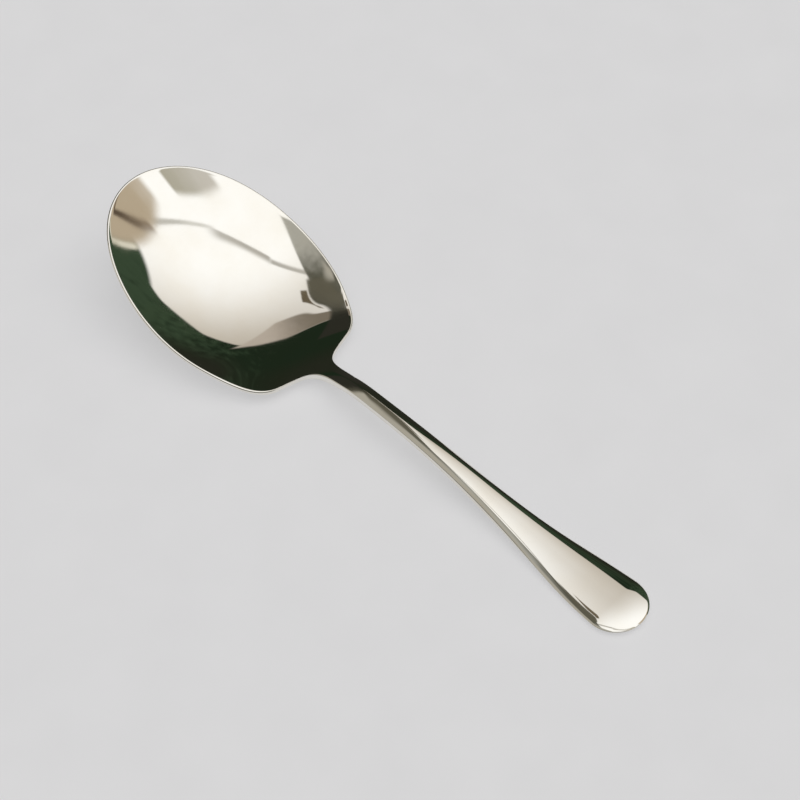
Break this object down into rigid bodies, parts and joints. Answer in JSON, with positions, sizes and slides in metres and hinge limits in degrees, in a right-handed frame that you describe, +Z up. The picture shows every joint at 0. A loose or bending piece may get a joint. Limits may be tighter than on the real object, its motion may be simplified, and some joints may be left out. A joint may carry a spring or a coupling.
{
  "type": "rice serving spoon",
  "caption": "Broad shallow oval bowl with squared shoulders on a slim arched stem that flares to a rounded handle end, for lifting and serving rice.",
  "frame": {"origin": "on the table under the middle of the spoon's bounding box, halfway along its length and on its middle line", "axes": "+X along the spoon from the bowl's tip to the handle's end, +Y across it, to the left when looking from the bowl's tip towards the handle's end, +Z up out of the open bowl"},
  "size_m": [0.225, 0.0652, 0.0278],
  "materials": {
    "silver_plate": "mirror polished, slightly warm silver with fine polishing marks"
  },
  "bodies": {
    "root": {"bowl": "silver_plate", "handle": "silver_plate"}
  },
  "joints": []
}
